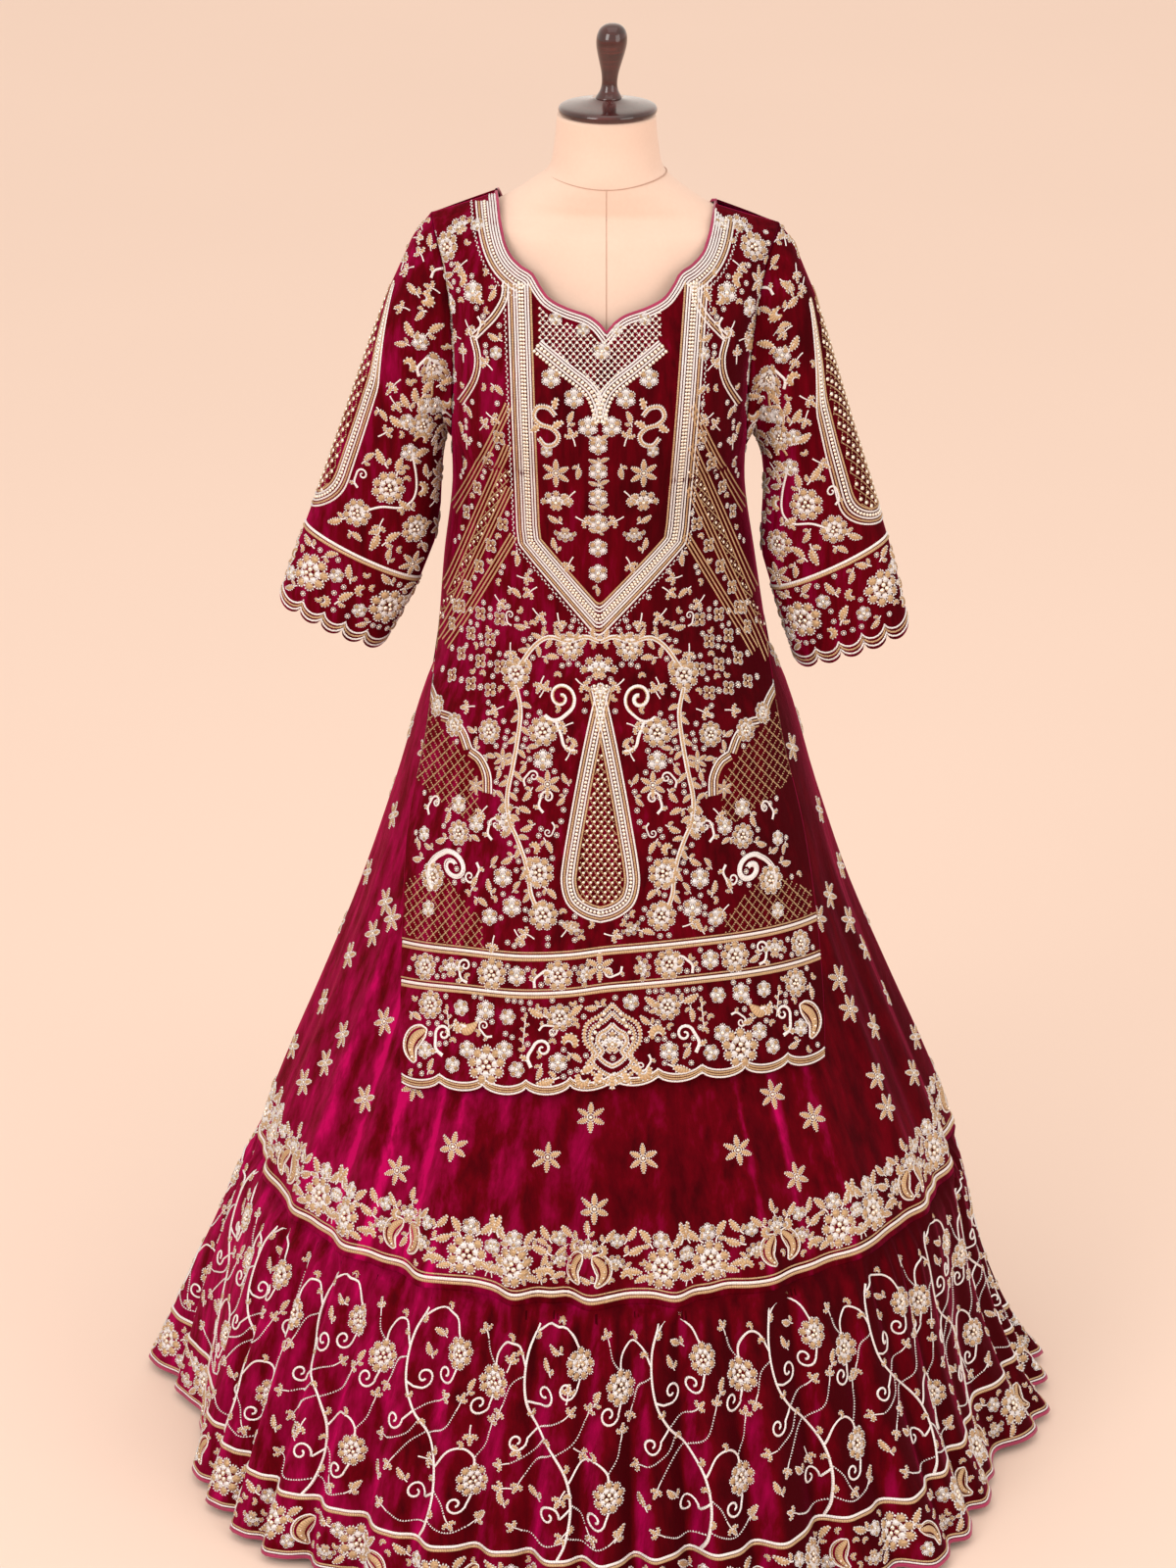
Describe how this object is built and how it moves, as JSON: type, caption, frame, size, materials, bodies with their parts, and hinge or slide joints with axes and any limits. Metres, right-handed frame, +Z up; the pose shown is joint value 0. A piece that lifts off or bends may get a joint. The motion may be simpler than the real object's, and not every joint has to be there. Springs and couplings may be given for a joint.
{
  "type": "bridal lehenga with long kurti on a limbless dress form",
  "caption": "Embroidered velvet bridal set on a dress form: long slit kurti with three-quarter sleeves over a full gored skirt with a gathered flounce.",
  "frame": {"origin": "middle of the stand base's underside, on the floor", "axes": "+Z up the pole; the wearer's front faces -Y; +X is to the right as seen from the front"},
  "size_m": [1.118, 1.1068, 1.691],
  "materials": {
    "velvet": "deep wine silk velvet with a bright magenta nap sheen",
    "zardozi": "metal thread and bead embroidery in gold and champagne",
    "form_cover": "smooth cream cover drawn tight, fine seams",
    "lacquered_wood": "turned wood in glossy red-brown lacquer",
    "painted_steel": "satin black paint"
  },
  "bodies": {
    "root": {"form_torso": "form_cover", "neck_cap": "lacquered_wood", "neck_knob": "lacquered_wood", "form_flange": "painted_steel", "stand_pole": "painted_steel", "stand_base": "painted_steel", "waistband": "velvet", "skirt_gore_1": "velvet", "skirt_gore_2": "velvet", "skirt_gore_3": "velvet", "skirt_gore_4": "velvet", "skirt_gore_5": "velvet", "skirt_gore_6": "velvet", "skirt_gore_7": "velvet", "skirt_gore_8": "velvet", "skirt_gore_9": "velvet", "skirt_gore_10": "velvet", "skirt_gore_11": "velvet", "skirt_gore_12": "velvet", "flounce_1": "velvet", "flounce_2": "velvet", "flounce_3": "velvet", "flounce_4": "velvet", "flounce_5": "velvet", "flounce_6": "velvet", "flounce_7": "velvet", "flounce_8": "velvet", "flounce_9": "velvet", "flounce_10": "velvet", "flounce_11": "velvet", "flounce_12": "velvet", "skirt_seam_braid": "zardozi", "kurti_front": "velvet", "kurti_back": "velvet", "yoke_braid": "zardozi", "neck_braid": "zardozi", "drop_braid": "zardozi", "kurti_line_1": "zardozi", "kurti_line_2": "zardozi", "sleeve_left": "velvet", "sleeve_left_line": "zardozi", "sleeve_right": "velvet", "sleeve_right_line": "zardozi"}
  },
  "joints": []
}
